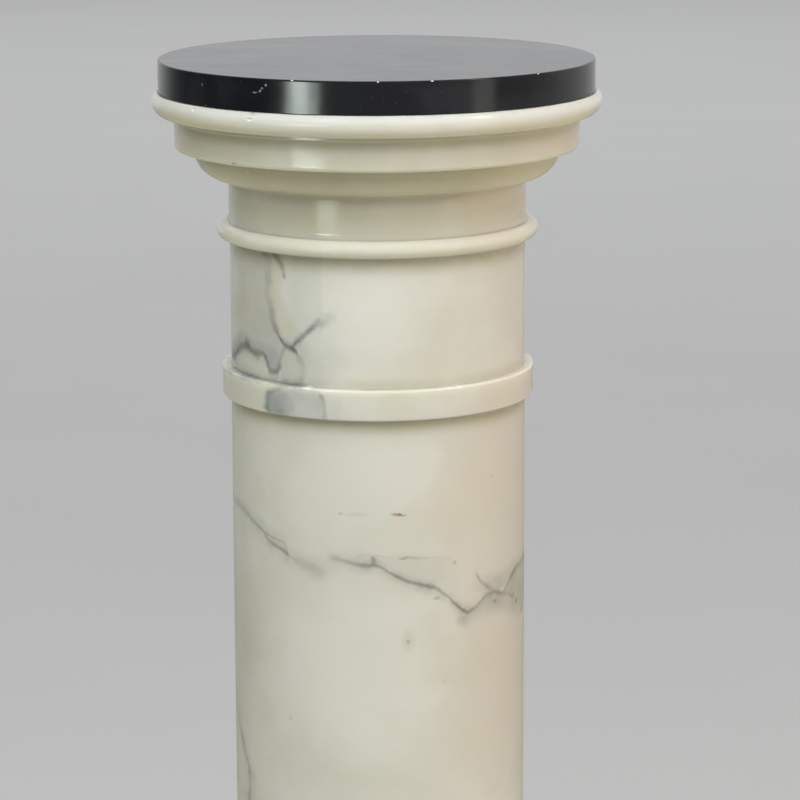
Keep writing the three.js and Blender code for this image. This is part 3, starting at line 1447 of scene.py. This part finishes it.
# The drum's markings: a grey zone on the left, bounded by dark lines, that runs on over the band
DRUM_FIGURE = Figure(
    veins=(
        Vein.drawn(
            Run.UP, (-46, 0.942, 3, 0.3), (-45.4, 0.9277, 2.6, 0.24), (-46.3, 0.914, 2.6, 0.24),
            (-44.6, 0.9062, 2.4, 0.24), (-43.4, 0.899, 2.2, 0.3), (-41.8, 0.8933, 1.8, 0.42),
            (-40.9, 0.8895, 1.5, 0.5), (-40.4, 0.8878, 1.2, 0),
        ),
        Vein.drawn(
            Run.ROUND, (-42.2, 0.894, 1.2, 0), (-40.9, 0.8892, 1.5, 0.55), (-39.4, 0.8863, 1.5, 0.7),
            (-37.6, 0.8837, 1.5, 0.78), (-34.7, 0.8826, 1.6, 0.85), (-33.4, 0.8812, 1.6, 0.8),
            (-32.3, 0.8797, 1.5, 0.62), (-31.2, 0.878, 1.2, 0),
        ),
        Vein.drawn(
            Run.UP, (-44, 0.942, 4.6, 0.4), (-42.7, 0.9382, 4, 0.46), (-40.2, 0.9345, 2.6, 0.6),
            (-38.7, 0.9311, 1.8, 0.54), (-37.8, 0.927, 1.3, 0.45), (-37.5, 0.9245, 1.7, 0.62),
            (-37.4, 0.9222, 1, 0),
        ),
        Vein.drawn(
            Run.ROUND, (-35.5, 0.8822, 1, 0), (-33.9, 0.8835, 1.4, 0.62), (-31.4, 0.8869, 1.5, 0.62),
            (-28.7, 0.8899, 1.7, 0.6), (-26.1, 0.8936, 1.9, 0.55), (-23.8, 0.8965, 2.2, 0.5),
            (-22.3, 0.8983, 2.6, 0.42), (-20.3, 0.8988, 2.4, 0.28), (-17.1, 0.9015, 3, 0.12),
            (-14, 0.904, 3, 0), haze=0.009,
        ),
        Vein.drawn(
            Run.UP, (-23.4, 0.8972, 1.2, 0), (-22.9, 0.899, 1.9, 0.42), (-22.5, 0.9007, 1.8, 0.34),
            (-22.2, 0.9026, 1.2, 0),
        ),
        Vein.drawn(
            Run.UP, (-32.4, 0.8806, 1.2, 0), (-31.2, 0.8772, 1.8, 0.3), (-29.3, 0.8716, 2.2, 0.22),
            (-29.1, 0.8664, 2.2, 0.2), (-30.6, 0.8609, 2.2, 0.25), (-31, 0.8585, 1.6, 0),
        ),
        Vein.drawn(
            Run.UP, (-41.3, 0.8655, 1.2, 0), (-40.6, 0.868, 1.7, 0.6), (-40.2, 0.8697, 1.5, 0.48),
            (-39.9, 0.8742, 1.3, 0.32), (-38.6, 0.879, 1.3, 0.36), (-37.3, 0.8829, 1.3, 0.48),
            (-36.8, 0.8845, 1, 0),
        ),
        Vein.drawn(
            Run.ROUND, (-100, 0.861, 2.6, 0), (-85, 0.8645, 3, 0.62), (-73.8, 0.8685, 2.8, 0.8),
            (-71.1, 0.8716, 2.8, 0.8), (-64, 0.8767, 2.6, 0.72), (-61.2, 0.8786, 2.8, 0.78),
            (-58.3, 0.8775, 3, 0.72), (-57.2, 0.8747, 2.4, 0.72), (-53.5, 0.8741, 2.2, 0.7),
            (-49.5, 0.8751, 2.2, 0.72), (-47.8, 0.8736, 2.3, 0.74), (-46.7, 0.8705, 2.3, 0.7),
            (-45.7, 0.8669, 2, 0.66), (-44, 0.8655, 1.7, 0.58), (-41.5, 0.866, 1.6, 0.6),
            (-40.4, 0.8672, 1.3, 0.44), (-39.4, 0.8684, 1, 0), haze=0.01,
        ),
        Vein.drawn(
            Run.ROUND, (-44.6, 0.8524, 1, 0), (-43.2, 0.8534, 1.5, 0.45), (-40.3, 0.8554, 1.6, 0.48),
            (-37.5, 0.8572, 1.4, 0.4), (-35.5, 0.8582, 1, 0), haze_strength=0.2,
        ),
        Vein.drawn(
            Run.UP, (-43.2, 0.8546, 1, 0), (-43.5, 0.853, 1.4, 0.48), (-43.7, 0.8479, 1.7, 0.52),
            (-44.4, 0.8439, 1.9, 0.58), (-43.2, 0.841, 1.9, 0.45), haze_strength=0.2,
        ),
        Vein.drawn(
            Run.UP, (-21, 0.8572, 1, 0), (-20.6, 0.8551, 1.2, 0.3), (-19.5, 0.8515, 1.4, 0.32),
            (-18.9, 0.8471, 1.4, 0.3), (-19.1, 0.842, 1.4, 0.26), (-19.1, 0.84, 1, 0),
        ),
        Vein.drawn(
            Run.ROUND, (-100, 0.8585, 1, 0), (-73, 0.859, 1.3, 0.42), (-55, 0.8593, 1.3, 0.45),
            (-44, 0.8594, 1.2, 0.4), (-35, 0.8595, 1.8, 0.52), (-29, 0.8594, 1.6, 0.42), (-23, 0.859, 1, 0),
            haze=0.003,
        ),
        Vein.drawn(
            Run.ROUND, (92, 0.927, 1.2, 0), (106, 0.915, 1.4, 0.3), (122, 0.8985, 1.6, 0.4),
            (140, 0.8905, 1.8, 0.34), (160, 0.8745, 1.5, 0.38), (177, 0.8665, 1.4, 0), haze=0.01,
        ),
    ),
    clouds=(
        Cloud.drawn(
            Run.ROUND, (-150, 0.87, 0.945, 0), (-110, 0.868, 0.945, 0.24), (-85, 0.865, 0.945, 0.17),
            (-73.8, 0.8685, 0.945, 0.14), (-66, 0.876, 0.945, 0.14), (-60, 0.878, 0.945, 0.16),
            (-54.5, 0.8741, 0.945, 0.2), (-50, 0.875, 0.945, 0.25), (-47.4, 0.8725, 0.943, 0.27),
            (-46.2, 0.869, 0.915, 0.28), (-44.6, 0.8655, 0.9062, 0.3), (-42.3, 0.8655, 0.895, 0.36),
            (-40.5, 0.868, 0.889, 0.36), (-39, 0.876, 0.886, 0.3), (-37.3, 0.882, 0.884, 0),
            low_softness=0.0015, high_softness=0.0025,
        ),
        Cloud.drawn(
            Run.ROUND, (-105, 0.862, 0.872, 0), (-85, 0.8645, 0.876, 0.5), (-73.8, 0.8685, 0.88, 0.66),
            (-68, 0.874, 0.8845, 0.6), (-61.2, 0.8786, 0.8865, 0.56), (-57, 0.8747, 0.884, 0.5),
            (-53.5, 0.8741, 0.883, 0.48), (-49.5, 0.8751, 0.884, 0.5), (-47.2, 0.872, 0.884, 0.56),
            (-45.7, 0.8669, 0.884, 0.6), (-43, 0.8655, 0.883, 0.58), (-41, 0.8665, 0.882, 0.52),
            (-39.5, 0.874, 0.882, 0.36), (-38, 0.88, 0.883, 0), low_softness=0.001, high_softness=0.006,
        ),
        Cloud.drawn(
            Run.UP, (0.857, -39, -20, 0), (0.86, -39, -20, 0.22), (0.868, -40, -17, 0.25),
            (0.878, -38, -15, 0.22), (0.888, -38, -19, 0.14), (0.896, -32, -22, 0), low_softness=0.003,
            high_softness=0.014,
        ),
        Cloud.drawn(
            Run.UP, (0.859, -38.5, -31, 0), (0.862, -39.5, -30.6, 0.24), (0.868, -40, -29.4, 0.3),
            (0.876, -39.4, -29.6, 0.26), (0.882, -37, -32, 0), low_softness=0.0015, high_softness=0.0025,
        ),
        Cloud.drawn(
            Run.UP, (0.84, -43.2, -31, 0.9), (0.8439, -44.4, -30.5, 0.9), (0.8479, -43.7, -30.5, 0.86),
            (0.8533, -43.4, -31.5, 0.76), (0.8554, -40.3, -32.5, 0.55), (0.8578, -36.6, -32, 0.2),
            (0.86, -36, -33, 0), low_softness=0.001, high_softness=0.012,
        ),
        Cloud.drawn(
            Run.UP, (0.84, -36, -19, 0.38), (0.8471, -36, -18.9, 0.4), (0.8551, -36, -20.6, 0.34),
            (0.86, -36, -21, 0.14), low_softness=0.006, high_softness=0.0012,
        ),
        Cloud.drawn(
            Run.UP, (0.84, -19, -12.5, 0.14), (0.8471, -18.9, -12, 0.15), (0.8551, -20.6, -12.5, 0.12),
            (0.86, -21, -13, 0), low_softness=0.001, high_softness=0.003,
        ),
    ),
    flecks=(
        Fleck(-47, 0.9375, 0.007, 0.004, 0.42), Fleck(-61.5, 0.88, 0.0028, 0.003, 0.3),
        Fleck(-72, 0.872, 0.0045, 0.004, 0.35), Fleck(-18.5, 0.9025, 0.008, 0.005, 0.14),
    ),
    # Two pale dashes on the band's top arris: painted glints
    nicks=(
        Fleck(-26, 0.8588, 0.0042, 0.0011, 1), Fleck(31, 0.859, 0.003, 0.0009, 0.8),
    ),
    milk=(
        Cloud.drawn(
            Run.UP, (0.862, -20, 10, 0), (0.885, -28, 12, 0.6), (0.915, -40, 14, 0.8), (0.94, -38, 10, 0.5),
            low_softness=0.006, high_softness=0.02,
        ),
    ),
    warm=(
        Cloud.drawn(
            Run.UP, (0.84, 38, 100, 0.75), (0.86, 42, 100, 0.7), (0.87, 52, 100, 0.3),
            (0.94, 48, 100, 0.25), low_softness=0.016, high_softness=0.03,
        ),
    ),
)

# The shaft's markings: a long vein that falls to the right and goes on round the back, and what hangs on it
SHAFT_FIGURE = Figure(
    veins=(
        Vein.drawn(
            Run.ROUND, (-180, 0.818, 1.6, 0.5), (-150, 0.809, 1.4, 0.58), (-120, 0.793, 2.2, 0.4),
            (-95, 0.78, 2.4, 0.28), (-77.7, 0.7745, 2.4, 0.26), (-64.1, 0.7718, 2, 0.28),
            (-55.8, 0.7676, 1.4, 0.38), (-51.1, 0.764, 1.2, 0.46), (-47.4, 0.762, 1.1, 0.4),
            (-42.9, 0.7607, 1, 0.3), (-38.8, 0.7597, 0.9, 0.26), (-37.3, 0.7566, 0.9, 0.22),
            (-36.6, 0.755, 0.8, 0), haze=0.01,
        ),
        Vein.drawn(
            Run.ROUND, (-50.6, 0.7635, 1, 0), (-48.5, 0.7605, 1.2, 0.36), (-45.7, 0.7574, 1.3, 0.42),
            (-41.4, 0.7554, 1.3, 0.52), (-38.4, 0.754, 1.5, 0.66), (-37.2, 0.7532, 1.3, 0.58),
            (-36, 0.752, 1.2, 0.22), (-34, 0.7503, 1.7, 0.16), (-30.4, 0.748, 2.6, 0.18),
            (-26.9, 0.7471, 3.2, 0.26), (-25, 0.7466, 3.4, 0.28), (-23.6, 0.7455, 3, 0.16),
            (-22, 0.744, 2, 0), haze=0.01,
        ),
        Vein.drawn(
            Run.ROUND, (-19.8, 0.7542, 3, 0), (-17.3, 0.7538, 2, 0.24), (-15, 0.7532, 1.5, 0.38),
            (-12.6, 0.7524, 1.2, 0.44), (-9.5, 0.7508, 1.1, 0.44), (-6.8, 0.7496, 1.2, 0.48),
            (-3.4, 0.7491, 1.1, 0.52), (-1.9, 0.75, 1.4, 0.68), (0.7, 0.7485, 1, 0.5),
            (7.2, 0.7433, 1, 0.54), (12.2, 0.7391, 1.1, 0.56), (14.5, 0.7372, 1.3, 0.62),
            (16.9, 0.7362, 1.4, 0.64), (21.7, 0.7341, 1.2, 0.58), (26.3, 0.7282, 1.1, 0.62),
            (31.1, 0.7214, 1.2, 0.72), (36.2, 0.7157, 1.2, 0.78), (37.6, 0.7164, 1.1, 0.64),
            (40.7, 0.7183, 1.2, 0.52), (45.6, 0.7232, 1.4, 0.46), (48.5, 0.7238, 1.6, 0.54),
            (51.5, 0.7238, 1.6, 0.58), (57.1, 0.7212, 1.3, 0.42), (60, 0.7195, 1.3, 0.28),
            (64.7, 0.7163, 1.4, 0.42), (67.5, 0.7145, 1.2, 0), haze=0.008,
        ),
        Vein.drawn(
            Run.ROUND, (-9, 0.7556, 0.8, 0), (-4, 0.756, 0.9, 0.14), (5, 0.7546, 0.8, 0.1),
            (14, 0.7537, 0.8, 0.2), (22, 0.7535, 0.8, 0.09), (28, 0.751, 0.8, 0.11), (32, 0.747, 0.8, 0),
            haze=0.003,
        ),
        Vein.drawn(
            Run.UP, (-2.6, 0.7562, 1, 0), (-2.4, 0.7542, 1.7, 0.38), (-1.9, 0.7517, 1.6, 0.48),
            (-1.7, 0.75, 1.3, 0.4), (-1.6, 0.7488, 1, 0), haze=0.004,
        ),
        Vein.drawn(
            Run.ROUND, (55.5, 0.7205, 1.2, 0), (57.1, 0.7218, 1.4, 0.4), (60.2, 0.7264, 1.6, 0.5),
            (63.7, 0.7296, 1.9, 0.64), (68.9, 0.7327, 1.8, 0.5), (76.2, 0.7345, 2.2, 0.5),
            (88, 0.737, 2, 0.55), (110, 0.744, 1.6, 0.6), (140, 0.774, 1.4, 0.52), (160, 0.803, 1.4, 0.6),
            (180, 0.818, 1.6, 0.5), haze=0.008,
        ),
        Vein.drawn(
            Run.ROUND, (40.2, 0.739, 1, 0), (41.2, 0.7372, 1.2, 0.45), (45, 0.7304, 1.6, 0.5),
            (48, 0.727, 2, 0.55), (50.9, 0.7246, 1.6, 0.4), (52, 0.7238, 1, 0),
        ),
        Vein.drawn(
            Run.UP, (-77.5, 0.642, 1.4, 0), (-75.6, 0.632, 1.6, 0.34), (-68.6, 0.6178, 1.5, 0.4),
            (-63.5, 0.607, 1.5, 0.42), (-62.8, 0.5941, 1.5, 0.42), (-64.5, 0.58, 1.5, 0.4),
            (-72, 0.55, 1.6, 0.36), (-84, 0.52, 1.8, 0), haze=0.012,
        ),
        Vein.drawn(
            Run.ROUND, (-175, 0.46, 1.4, 0), (-140, 0.445, 1.4, 0.52), (-105, 0.405, 2.2, 0.42),
            (-70, 0.38, 1.5, 0.52), (-35, 0.33, 1.6, 0.46), (-5, 0.318, 2.4, 0.26), (10, 0.314, 2, 0),
            haze=0.012,
        ),
        Vein.drawn(
            Run.ROUND, (30, 0.49, 1.8, 0), (55, 0.48, 1.4, 0.38), (85, 0.445, 1.6, 0.52),
            (115, 0.428, 2, 0.4), (150, 0.385, 1.4, 0.48), (178, 0.37, 1.4, 0), haze=0.012,
        ),
    ),
    clouds=(
        Cloud.drawn(
            Run.ROUND, (27, 0.724, 0.727, 0), (31, 0.717, 0.7214, 0.36), (36, 0.708, 0.716, 0.44),
            (40, 0.7125, 0.7183, 0.42), (45, 0.715, 0.723, 0.42), (50, 0.714, 0.7238, 0.48),
            (58, 0.71, 0.723, 0.46), (70, 0.704, 0.732, 0.44), (85, 0.7, 0.736, 0.44),
            (112, 0.73, 0.744, 0), low_softness=0.007, high_softness=0.002,
        ),
        Cloud.drawn(
            Run.ROUND, (38, 0.728, 0.736, 0), (46, 0.7255, 0.735, 0.32), (54, 0.7235, 0.735, 0.38),
            (62, 0.729, 0.737, 0.32), (74, 0.733, 0.743, 0), low_softness=0.0015, high_softness=0.005,
        ),
        Cloud.drawn(
            Run.ROUND, (-22, 0.75, 0.755, 0), (-17, 0.748, 0.7556, 0.26), (-10.6, 0.749, 0.7557, 0.26),
            (-6.4, 0.749, 0.7566, 0.2), (-2, 0.749, 0.7545, 0.14), (6.4, 0.744, 0.7546, 0.11),
            (10.3, 0.7405, 0.7531, 0.12), (16.9, 0.7362, 0.754, 0.14), (22, 0.734, 0.7543, 0.14),
            (27.6, 0.727, 0.7519, 0.12), (30.7, 0.7225, 0.7481, 0.07), (34, 0.719, 0.742, 0),
            low_softness=0.003, high_softness=0.0045,
        ),
        Cloud.drawn(
            Run.ROUND, (-66, 0.76, 0.769, 0), (-50, 0.758, 0.764, 0.24), (-45, 0.7572, 0.7612, 0.5),
            (-39, 0.7545, 0.7595, 0.36), (-36, 0.752, 0.756, 0.16), (-28, 0.744, 0.753, 0.16),
            (-22, 0.74, 0.753, 0.24), (-16, 0.744, 0.753, 0.1), (-10, 0.747, 0.752, 0), low_softness=0.006,
            high_softness=0.004,
        ),
    ),
    flecks=(
        Fleck(65.7, 0.7172, 0.0024, 0.0018, 0.45), Fleck(69, 0.7119, 0.0024, 0.0028, 0.5),
        Fleck(77, 0.703, 0.004, 0.004, 0.4), Fleck(51.6, 0.718, 0.0028, 0.002, 0.55),
        Fleck(22.6, 0.7268, 0.0032, 0.0017, 0.4), Fleck(33.5, 0.7105, 0.006, 0.0055, 0.2),
        Fleck(30.7, 0.7481, 0.002, 0.0016, 0.38), Fleck(9.8, 0.7538, 0.0054, 0.0013, 0.46),
        Fleck(-14.2, 0.7819, 0.002, 0.0013, 0.3), Fleck(-8, 0.7813, 0.011, 0.002, 0.12),
        Fleck(-24, 0.744, 0.008, 0.007, 0.2), Fleck(11.3, 0.7019, 0.0022, 0.0018, 0.5),
        Fleck(11.3, 0.7019, 0.006, 0.01, 0.14), Fleck(-36.3, 0.6481, 0.0024, 0.0022, 0.16),
        Fleck(25.8, 0.6741, 0.0026, 0.0022, 0.12),
    ),
    rust=(
        Fleck(7.9, 0.7814, 0.0066, 0.0014, 0.62), Fleck(8.5, 0.7815, 0.0017, 0.0013, 0.95),
        Fleck(48.9, 0.7984, 0.0014, 0.0012, 0.2),
    ),
    milk=(
        Cloud.drawn(
            Run.UP, (0.76, -30, -8, 0), (0.778, -38, 4, 0.4), (0.798, -40, 20, 0.65),
            (0.818, -30, 26, 0.65), (0.836, -20, 16, 0), low_softness=0.014, high_softness=0.007,
        ),
        Cloud.drawn(
            Run.UP, (0.61, -26, 12, 0), (0.65, -30, 8, 0.6), (0.69, -34, 22, 0.7), (0.72, -30, 16, 0.5),
            (0.74, -26, 8, 0), low_softness=0.016, high_softness=0.012,
        ),
    ),
    warm=(
        Cloud.drawn(
            Run.UP, (0.56, 40, 110, 0), (0.64, 30, 110, 0.4), (0.69, 38, 110, 0.45), (0.74, 34, 110, 0.3),
            (0.78, 20, 110, 0.42), (0.8, 28, 110, 0.5), (0.841, 46, 110, 0.45), low_softness=0.012,
            high_softness=0.03,
        ),
        Cloud.drawn(
            Run.UP, (0.13, -170, -100, 0), (0.26, -150, -60, 0.4), (0.42, -130, -80, 0), low_softness=0.03,
            high_softness=0.03,
        ),
    ),
)

# The base's markings: veins that fall over the mouldings
BASE_FIGURE = Figure(
    veins=(
        Vein.drawn(
            Run.ROUND, (-75, 0.12, 1.4, 0), (-58, 0.112, 1.6, 0.32), (-44, 0.098, 1.3, 0.4),
            (-30, 0.087, 1.4, 0.46), (-18, 0.074, 1.6, 0.42), (-8, 0.066, 1.5, 0.5), (4, 0.057, 1.8, 0.38),
            (12, 0.0495, 1.6, 0.28), (18, 0.044, 1.4, 0), haze=0.01,
        ),
        Vein.drawn(
            Run.ROUND, (-21, 0.077, 1, 0), (-10, 0.08, 1.2, 0.3), (4, 0.086, 1.4, 0.36),
            (20, 0.095, 1.3, 0.3), (34, 0.101, 1.2, 0), haze=0.008,
        ),
        Vein.drawn(
            Run.ROUND, (60, 0.124, 1.4, 0), (85, 0.112, 1.4, 0.36), (112, 0.092, 1.6, 0.44),
            (135, 0.075, 1.5, 0.48), (158, 0.062, 1.8, 0.38), (176, 0.05, 1.4, 0), haze=0.01,
        ),
        Vein.drawn(
            Run.ROUND, (-178, 0.056, 1.2, 0), (-160, 0.064, 1.5, 0.4), (-140, 0.074, 1.4, 0.46),
            (-118, 0.088, 1.5, 0.38), (-98, 0.104, 1.3, 0.28), (-88, 0.112, 1.2, 0), haze=0.01,
        ),
    ),
)

# The plinth's markings: veins that cross its top and run down its sides
PLINTH_FIGURE = Figure(
    veins=(
        Vein.drawn(
            Run.UP, (-38, 0.046, 2, 0.4), (-36, 0.04, 1.8, 0.44), (-31, 0.025, 1.6, 0.48),
            (-24, 0.012, 1.6, 0.38), (-20, -0.002, 1.6, 0.2), haze=0.011,
        ),
        Vein.drawn(
            Run.UP, (52, 0.046, 1.8, 0.34), (58, 0.03, 1.5, 0.4), (68, 0.015, 1.5, 0.36),
            (77, -0.002, 1.5, 0.1), haze=0.011,
        ),
        Vein.drawn(
            Run.UP, (150, 0.046, 2, 0.38), (146, 0.03, 1.8, 0.44), (136, 0.014, 1.6, 0.4),
            (130, -0.002, 1.4, 0.2), haze=0.011,
        ),
        Vein.drawn(
            Run.UP, (-128, 0.046, 1.8, 0.34), (-120, 0.028, 1.6, 0.4), (-112, 0.012, 1.6, 0.34),
            (-108, -0.002, 1.5, 0.1), haze=0.011,
        ),
    ),
)

# The capital's markings: a long scratch on the rim and small nicks on the rim and the ovolo, and a warm patch
# of painted warm light on its right side
CAPITAL_FIGURE = Figure(
    nicks=(
        Fleck(-65.5, 1.0246, 0.014, 0.0006, 0.55), Fleck(-67.9, 1.0265, 0.0012, 0.0008, 0.6),
        Fleck(-42.8, 0.9899, 0.001, 0.001, 0.8), Fleck(-24, 1.0292, 0.008, 0.0008, 0.5),
        Fleck(-31.9, 1.0276, 0.005, 0.0022, 0.7), Fleck(-51.4, 1.0281, 0.0024, 0.0014, 0.7),
    ),
    # A warm patch on the right side: painted warm light
    warm=(
        Cloud.drawn(
            Run.UP, (0.94, 44, 110, 0.5), (0.97, 32, 110, 0.85), (0.995, 40, 110, 0.7),
            (1.03, 56, 110, 0.3), low_softness=0.02, high_softness=0.03,
        ),
    ),
)


@dataclass(frozen=True)
class Softbox:
    """A rectangular studio light that is aimed at a point."""

    name: str
    place: tuple[float, float, float]
    target: tuple[float, float, float]
    size: tuple[float, float]
    watts: float
    colour: Colour
    lit: Lit = Lit.ALL

    def build(self) -> bpy.types.Object:
        """Make the light, out of the camera's own sight.

        Returns:
            The light.
        """
        lamp = bpy.data.lights.new(self.name, "AREA")
        lamp.shape = "RECTANGLE"
        lamp.size, lamp.size_y = self.size
        lamp.energy = self.watts
        lamp.color = self.colour
        light = bpy.data.objects.new(self.name, lamp)
        bpy.context.scene.collection.objects.link(light)
        light.location = self.place
        aim = Vector(self.target) - Vector(self.place)
        light.rotation_euler = aim.to_track_quat("-Z", "Y").to_euler()
        light.visible_camera = False
        light.visible_diffuse = self.lit is not Lit.GLOSS
        light.visible_glossy = self.lit is not Lit.MATT
        return light


@dataclass
class Studio:
    """The plain floor, the soft light and the camera."""

    floor_width: float = 80.0
    floor_colour: Colour = (0.74, 0.745, 0.76)
    floor_shade: float = 0.94
    floor_scale: float = 1.3
    floor_detail: float = 4.0
    floor_roughness: float = 0.8
    front_air: Colour = (0.29, 0.29, 0.275)
    back_air: Colour = (0.66, 0.668, 0.68)
    left_air: Colour = (0.10, 0.102, 0.104)
    low_air: Colour = (0.52, 0.495, 0.365)
    back_depth: Limits = (-0.1, 0.5)
    back_top: Limits = (0.55, 0.15)
    back_foot: Limits = (-0.3, 0.0)
    left_side: Limits = (-0.45, -0.9)
    low_rise: Limits = (-0.2, -0.5)
    camera_place: tuple[float, float, float] = (0.0137, -2.0923, 1.2722)
    camera_pitch: float = 11.840
    camera_roll: float = -0.208
    lens_mm: float = 152.73
    sensor_mm: float = 36.0
    softboxes: tuple[Softbox, ...] = (
        Softbox(
            "front_box", place=(0.15, -2.0, 3.18), target=(0.0, 0.0, 0.95), size=(3.4, 2.0),
            watts=90.0, colour=(0.98, 1.0, 1.0), lit=Lit.MATT,
        ),
        Softbox(
            "front_sheen", place=(0.15, -2.0, 3.18), target=(0.0, 0.0, 0.95), size=(3.4, 2.0),
            watts=36.0, colour=(0.98, 1.0, 1.0), lit=Lit.GLOSS,
        ),
        Softbox(
            "left_box", place=(-2.3, -0.9, 2.6), target=(0.0, 0.0, 0.9), size=(1.4, 1.4),
            watts=12.0, colour=(0.88, 1.0, 0.88), lit=Lit.MATT,
        ),
        Softbox(
            "window", place=(-1.93, -2.47, 0.645), target=(0.0, 0.0, 1.0), size=(0.98, 0.25),
            watts=5.1, colour=(0.88, 1.0, 0.92), lit=Lit.GLOSS,
        ),
        Softbox(
            "pane", place=(-1.97, -2.43, 0.79), target=(0.0, 0.0, 1.0), size=(0.46, 0.26),
            watts=4.2, colour=(0.90, 1.0, 0.93), lit=Lit.GLOSS,
        ),
        Softbox(
            "warm_box", place=(2.7, -0.75, 1.2), target=(0.0, 0.0, 0.9), size=(1.2, 1.5),
            watts=15.0, colour=(1.0, 0.66, 0.44), lit=Lit.MATT,
        ),
        Softbox(
            "door", place=(2.50, -1.65, 0.70), target=(0.0, 0.0, 1.0), size=(0.60, 0.50),
            watts=0.9, colour=(1.0, 0.98, 0.92), lit=Lit.GLOSS,
        ),
        Softbox(
            "lamp", place=(2.0, -1.1, 2.9), target=(0.0, 0.0, 1.05), size=(0.5, 0.5),
            watts=11.0, colour=(1.0, 0.78, 0.52), lit=Lit.GLOSS,
        ),
        Softbox(
            "back_box", place=(0.0, 9.0, 6.0), target=(0.0, 8.9, 0.0), size=(14.0, 10.0),
            watts=320.0, colour=(1.0, 1.0, 1.0),
        ),
    )

    def build(self) -> None:
        """Set up the whole studio."""
        bpy.context.scene.view_settings.view_transform = "Standard"
        self._floor()
        self._air()
        self._camera()
        for softbox in self.softboxes:
            softbox.build()
            LOG.info("light %s", softbox.name)

    def _floor(self) -> None:
        """Lay a wide pale floor that isn't part of the column."""
        bpy.ops.object.select_all(action="DESELECT")
        bpy.ops.mesh.primitive_plane_add(size=self.floor_width)
        floor = bpy.context.active_object
        floor.name = "floor"
        shader = Shader(bpy.data.materials.new("pale_floor"))
        darker = tuple(self.floor_shade * value for value in self.floor_colour)
        clouds = shader.noise(self.floor_scale, self.floor_detail)
        colour = shader.mix(clouds, self.floor_colour, darker)
        sockets = {"Base Color": colour, "Roughness": self.floor_roughness}
        floor.data.materials.append(shader.principled(sockets))
        floor.visible_diffuse = False
        floor.visible_glossy = False

    def _air(self) -> None:
        """Fill the room with pale light, dim on the left and in front and warm from below."""
        world = bpy.data.worlds.new("studio_air")
        shader = Shader(world, "Generated")
        side, depth, rise = shader.split(shader.place)
        behind = shader.smooth(depth, *self.back_depth) * shader.smooth(rise, *self.back_top)
        behind = behind * shader.smooth(rise, *self.back_foot)
        colour = shader.mix(behind, self.front_air, self.back_air)
        colour = shader.mix(shader.smooth(side, *self.left_side), colour, self.left_air)
        colour = shader.mix(shader.smooth(rise, *self.low_rise), colour, self.low_air)
        surface = shader.node("ShaderNodeBackground", {}, {"Color": colour}, "Background")
        shader.node("ShaderNodeOutputWorld", {}, {"Surface": surface}, None)
        bpy.context.scene.world = world

    def _camera(self) -> None:
        """Stand the camera where the column is seen from."""
        data = bpy.data.cameras.new("camera")
        data.sensor_width = self.sensor_mm
        data.lens = self.lens_mm
        camera = bpy.data.objects.new("camera", data)
        bpy.context.scene.collection.objects.link(camera)
        level = Matrix.Rotation(math.radians(90 - self.camera_pitch), 4, "X")
        roll = Matrix.Rotation(math.radians(self.camera_roll), 4, "Z")
        camera.matrix_world = Matrix.Translation(self.camera_place) @ level @ roll
        bpy.context.scene.camera = camera


def main() -> None:
    """Build the studio and every stone of the column."""
    logging.basicConfig(level=logging.INFO, format="%(message)s")
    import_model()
    Studio().build()
    broken = BreakFinish().material("fresh_break")
    for stone in (Plinth(), Base(), Shaft(), NeckingDrum(), Capital(), TopSlab()):
        stone.build(broken)


if __name__ == "__main__":
    main()
